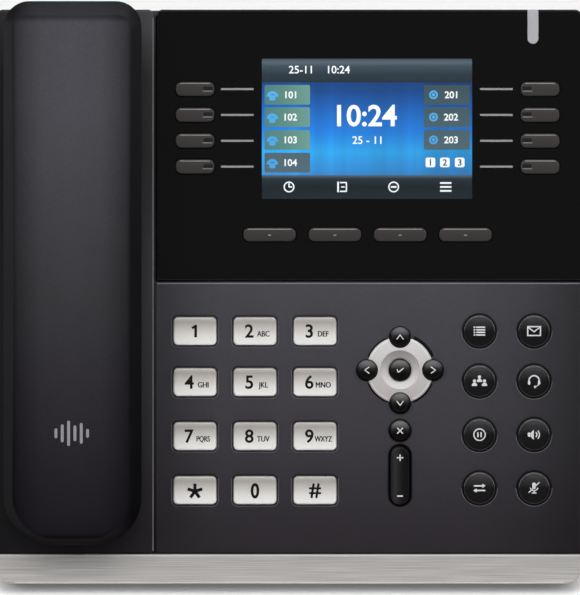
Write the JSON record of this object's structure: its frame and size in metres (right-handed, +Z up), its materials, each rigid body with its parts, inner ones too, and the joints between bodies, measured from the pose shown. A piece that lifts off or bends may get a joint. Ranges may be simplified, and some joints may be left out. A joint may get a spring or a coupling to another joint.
{
  "type": "desk telephone",
  "caption": "Desk telephone with a lift-off handset, colour display, dial, function and navigation keys, and a folding stand that tilts the face back.",
  "frame": {"origin": "on the desk top, under the middle of the phone's bounding box", "axes": "+Z up from the desk, the face looks towards -Y and up, +X to the right as the user sees it"},
  "size_m": [0.205, 0.177, 0.1597],
  "materials": {
    "housing_plastic": "fine satin texture",
    "panel_gloss": "high gloss",
    "window_clear": "clear gloss",
    "display_panel": "lit display",
    "lamp_lens": "frosted translucent",
    "trim_metal": "brushed along its length",
    "ring_silver": "satin silver",
    "mat_silicone": "matte",
    "board_laminate": "solder mask",
    "speaker_metal": "satin",
    "jack_plastic": "moulded",
    "screw_steel": "zinc plated",
    "foot_rubber": "matte",
    "hook_plastic": "smooth",
    "handset_plastic": "fine satin texture",
    "key_silver": "satin silver paint",
    "key_grey": "satin",
    "key_black": "gloss"
  },
  "bodies": {
    "base": {"front_housing": "housing_plastic", "rear_housing": "housing_plastic", "display_bezel": "panel_gloss", "display_window": "window_clear", "display_module": "display_panel", "message_lamp": "lamp_lens", "front_trim": "trim_metal", "navigation_ring": "ring_silver", "keypad_mat": "mat_silicone", "circuit_boards": "board_laminate", "loudspeaker": "speaker_metal", "rear_jacks": "jack_plastic", "power_jack": "jack_plastic", "housing_screws": "screw_steel", "base_feet": "foot_rubber"},
    "handset": {"handset_back": "handset_plastic", "handset_front": "handset_plastic", "handset_capsules": "speaker_metal"},
    "hook": {"hook_switch": "hook_plastic"},
    "stand": {"stand": "housing_plastic", "stand_feet": "foot_rubber"},
    "volume_rocker": {"volume_rocker": "key_black"},
    "dial_key_1": {"dial_key_1": "key_silver"},
    "dial_key_2": {"dial_key_2": "key_silver"},
    "dial_key_3": {"dial_key_3": "key_silver"},
    "dial_key_4": {"dial_key_4": "key_silver"},
    "dial_key_5": {"dial_key_5": "key_silver"},
    "dial_key_6": {"dial_key_6": "key_silver"},
    "dial_key_7": {"dial_key_7": "key_silver"},
    "dial_key_8": {"dial_key_8": "key_silver"},
    "dial_key_9": {"dial_key_9": "key_silver"},
    "dial_key_star": {"dial_key_star": "key_silver"},
    "dial_key_0": {"dial_key_0": "key_silver"},
    "dial_key_hash": {"dial_key_hash": "key_silver"},
    "line_key_left_1": {"line_key_left_1": "key_grey"},
    "line_key_left_2": {"line_key_left_2": "key_grey"},
    "line_key_left_3": {"line_key_left_3": "key_grey"},
    "line_key_left_4": {"line_key_left_4": "key_grey"},
    "line_key_right_1": {"line_key_right_1": "key_grey"},
    "line_key_right_2": {"line_key_right_2": "key_grey"},
    "line_key_right_3": {"line_key_right_3": "key_grey"},
    "line_key_right_4": {"line_key_right_4": "key_grey"},
    "soft_key_1": {"soft_key_1": "key_grey"},
    "soft_key_2": {"soft_key_2": "key_grey"},
    "soft_key_3": {"soft_key_3": "key_grey"},
    "soft_key_4": {"soft_key_4": "key_grey"},
    "list_key": {"list_key": "key_black"},
    "message_key": {"message_key": "key_black"},
    "conference_key": {"conference_key": "key_black"},
    "headset_key": {"headset_key": "key_black"},
    "hold_key": {"hold_key": "key_black"},
    "speaker_key": {"speaker_key": "key_black"},
    "transfer_key": {"transfer_key": "key_black"},
    "mute_key": {"mute_key": "key_black"},
    "up_key": {"up_key": "key_black"},
    "down_key": {"down_key": "key_black"},
    "left_key": {"left_key": "key_black"},
    "right_key": {"right_key": "key_black"},
    "ok_key": {"ok_key": "key_black"},
    "cancel_key": {"cancel_key": "key_black"}
  },
  "joints": [
    {"name": "handset_lift", "type": "slide", "parent": "base", "child": "handset", "axis": [0, -0.7071, 0.7071], "range_m": [0, 0.06]},
    {"name": "hook_rise", "type": "slide", "parent": "base", "child": "hook", "axis": [0, -0.7071, 0.7071], "range_m": [0, 0.004]},
    {"name": "stand_fold", "type": "hinge", "parent": "base", "child": "stand", "pos_m": [0, 0.04654, 0.08495], "axis": [1, 0, 0], "range_deg": [-67, 0]},
    {"name": "volume_rock", "type": "hinge", "parent": "base", "child": "volume_rocker", "pos_m": [0.03885, -0.05688, 0.0299], "axis": [1, 0, 0], "range_deg": [-3, 3], "stiffness_Nm_per_rad": 0.05},
    {"name": "dial_key_1_press", "type": "slide", "parent": "base", "child": "dial_key_1", "axis": [0, 0.7071, -0.7071], "range_m": [0, 0.0012], "stiffness_N_per_m": 400, "springref_m": -0.0006},
    {"name": "dial_key_2_press", "type": "slide", "parent": "base", "child": "dial_key_2", "axis": [0, 0.7071, -0.7071], "range_m": [0, 0.0012], "stiffness_N_per_m": 400, "springref_m": -0.0006},
    {"name": "dial_key_3_press", "type": "slide", "parent": "base", "child": "dial_key_3", "axis": [0, 0.7071, -0.7071], "range_m": [0, 0.0012], "stiffness_N_per_m": 400, "springref_m": -0.0006},
    {"name": "dial_key_4_press", "type": "slide", "parent": "base", "child": "dial_key_4", "axis": [0, 0.7071, -0.7071], "range_m": [0, 0.0012], "stiffness_N_per_m": 400, "springref_m": -0.0006},
    {"name": "dial_key_5_press", "type": "slide", "parent": "base", "child": "dial_key_5", "axis": [0, 0.7071, -0.7071], "range_m": [0, 0.0012], "stiffness_N_per_m": 400, "springref_m": -0.0006},
    {"name": "dial_key_6_press", "type": "slide", "parent": "base", "child": "dial_key_6", "axis": [0, 0.7071, -0.7071], "range_m": [0, 0.0012], "stiffness_N_per_m": 400, "springref_m": -0.0006},
    {"name": "dial_key_7_press", "type": "slide", "parent": "base", "child": "dial_key_7", "axis": [0, 0.7071, -0.7071], "range_m": [0, 0.0012], "stiffness_N_per_m": 400, "springref_m": -0.0006},
    {"name": "dial_key_8_press", "type": "slide", "parent": "base", "child": "dial_key_8", "axis": [0, 0.7071, -0.7071], "range_m": [0, 0.0012], "stiffness_N_per_m": 400, "springref_m": -0.0006},
    {"name": "dial_key_9_press", "type": "slide", "parent": "base", "child": "dial_key_9", "axis": [0, 0.7071, -0.7071], "range_m": [0, 0.0012], "stiffness_N_per_m": 400, "springref_m": -0.0006},
    {"name": "dial_key_star_press", "type": "slide", "parent": "base", "child": "dial_key_star", "axis": [0, 0.7071, -0.7071], "range_m": [0, 0.0012], "stiffness_N_per_m": 400, "springref_m": -0.0006},
    {"name": "dial_key_0_press", "type": "slide", "parent": "base", "child": "dial_key_0", "axis": [0, 0.7071, -0.7071], "range_m": [0, 0.0012], "stiffness_N_per_m": 400, "springref_m": -0.0006},
    {"name": "dial_key_hash_press", "type": "slide", "parent": "base", "child": "dial_key_hash", "axis": [0, 0.7071, -0.7071], "range_m": [0, 0.0012], "stiffness_N_per_m": 400, "springref_m": -0.0006},
    {"name": "line_key_left_1_press", "type": "slide", "parent": "base", "child": "line_key_left_1", "axis": [0, 0.7071, -0.7071], "range_m": [0, 0.0012], "stiffness_N_per_m": 400, "springref_m": -0.0006},
    {"name": "line_key_left_2_press", "type": "slide", "parent": "base", "child": "line_key_left_2", "axis": [0, 0.7071, -0.7071], "range_m": [0, 0.0012], "stiffness_N_per_m": 400, "springref_m": -0.0006},
    {"name": "line_key_left_3_press", "type": "slide", "parent": "base", "child": "line_key_left_3", "axis": [0, 0.7071, -0.7071], "range_m": [0, 0.0012], "stiffness_N_per_m": 400, "springref_m": -0.0006},
    {"name": "line_key_left_4_press", "type": "slide", "parent": "base", "child": "line_key_left_4", "axis": [0, 0.7071, -0.7071], "range_m": [0, 0.0012], "stiffness_N_per_m": 400, "springref_m": -0.0006},
    {"name": "line_key_right_1_press", "type": "slide", "parent": "base", "child": "line_key_right_1", "axis": [0, 0.7071, -0.7071], "range_m": [0, 0.0012], "stiffness_N_per_m": 400, "springref_m": -0.0006},
    {"name": "line_key_right_2_press", "type": "slide", "parent": "base", "child": "line_key_right_2", "axis": [0, 0.7071, -0.7071], "range_m": [0, 0.0012], "stiffness_N_per_m": 400, "springref_m": -0.0006},
    {"name": "line_key_right_3_press", "type": "slide", "parent": "base", "child": "line_key_right_3", "axis": [0, 0.7071, -0.7071], "range_m": [0, 0.0012], "stiffness_N_per_m": 400, "springref_m": -0.0006},
    {"name": "line_key_right_4_press", "type": "slide", "parent": "base", "child": "line_key_right_4", "axis": [0, 0.7071, -0.7071], "range_m": [0, 0.0012], "stiffness_N_per_m": 400, "springref_m": -0.0006},
    {"name": "soft_key_1_press", "type": "slide", "parent": "base", "child": "soft_key_1", "axis": [0, 0.7071, -0.7071], "range_m": [0, 0.0012], "stiffness_N_per_m": 400, "springref_m": -0.0006},
    {"name": "soft_key_2_press", "type": "slide", "parent": "base", "child": "soft_key_2", "axis": [0, 0.7071, -0.7071], "range_m": [0, 0.0012], "stiffness_N_per_m": 400, "springref_m": -0.0006},
    {"name": "soft_key_3_press", "type": "slide", "parent": "base", "child": "soft_key_3", "axis": [0, 0.7071, -0.7071], "range_m": [0, 0.0012], "stiffness_N_per_m": 400, "springref_m": -0.0006},
    {"name": "soft_key_4_press", "type": "slide", "parent": "base", "child": "soft_key_4", "axis": [0, 0.7071, -0.7071], "range_m": [0, 0.0012], "stiffness_N_per_m": 400, "springref_m": -0.0006},
    {"name": "list_key_press", "type": "slide", "parent": "base", "child": "list_key", "axis": [0, 0.7071, -0.7071], "range_m": [0, 0.0012], "stiffness_N_per_m": 400, "springref_m": -0.0006},
    {"name": "message_key_press", "type": "slide", "parent": "base", "child": "message_key", "axis": [0, 0.7071, -0.7071], "range_m": [0, 0.0012], "stiffness_N_per_m": 400, "springref_m": -0.0006},
    {"name": "conference_key_press", "type": "slide", "parent": "base", "child": "conference_key", "axis": [0, 0.7071, -0.7071], "range_m": [0, 0.0012], "stiffness_N_per_m": 400, "springref_m": -0.0006},
    {"name": "headset_key_press", "type": "slide", "parent": "base", "child": "headset_key", "axis": [0, 0.7071, -0.7071], "range_m": [0, 0.0012], "stiffness_N_per_m": 400, "springref_m": -0.0006},
    {"name": "hold_key_press", "type": "slide", "parent": "base", "child": "hold_key", "axis": [0, 0.7071, -0.7071], "range_m": [0, 0.0012], "stiffness_N_per_m": 400, "springref_m": -0.0006},
    {"name": "speaker_key_press", "type": "slide", "parent": "base", "child": "speaker_key", "axis": [0, 0.7071, -0.7071], "range_m": [0, 0.0012], "stiffness_N_per_m": 400, "springref_m": -0.0006},
    {"name": "transfer_key_press", "type": "slide", "parent": "base", "child": "transfer_key", "axis": [0, 0.7071, -0.7071], "range_m": [0, 0.0012], "stiffness_N_per_m": 400, "springref_m": -0.0006},
    {"name": "mute_key_press", "type": "slide", "parent": "base", "child": "mute_key", "axis": [0, 0.7071, -0.7071], "range_m": [0, 0.0012], "stiffness_N_per_m": 400, "springref_m": -0.0006},
    {"name": "up_key_press", "type": "slide", "parent": "base", "child": "up_key", "axis": [0, 0.7071, -0.7071], "range_m": [0, 0.0012], "stiffness_N_per_m": 400, "springref_m": -0.0006},
    {"name": "down_key_press", "type": "slide", "parent": "base", "child": "down_key", "axis": [0, 0.7071, -0.7071], "range_m": [0, 0.0012], "stiffness_N_per_m": 400, "springref_m": -0.0006},
    {"name": "left_key_press", "type": "slide", "parent": "base", "child": "left_key", "axis": [0, 0.7071, -0.7071], "range_m": [0, 0.0012], "stiffness_N_per_m": 400, "springref_m": -0.0006},
    {"name": "right_key_press", "type": "slide", "parent": "base", "child": "right_key", "axis": [0, 0.7071, -0.7071], "range_m": [0, 0.0012], "stiffness_N_per_m": 400, "springref_m": -0.0006},
    {"name": "ok_key_press", "type": "slide", "parent": "base", "child": "ok_key", "axis": [0, 0.7071, -0.7071], "range_m": [0, 0.0012], "stiffness_N_per_m": 400, "springref_m": -0.0006},
    {"name": "cancel_key_press", "type": "slide", "parent": "base", "child": "cancel_key", "axis": [0, 0.7071, -0.7071], "range_m": [0, 0.0012], "stiffness_N_per_m": 400, "springref_m": -0.0006}
  ],
  "couplings": [
    {"joint": "hook_rise", "follows": "handset_lift", "ratio": 0.0666}
  ]
}
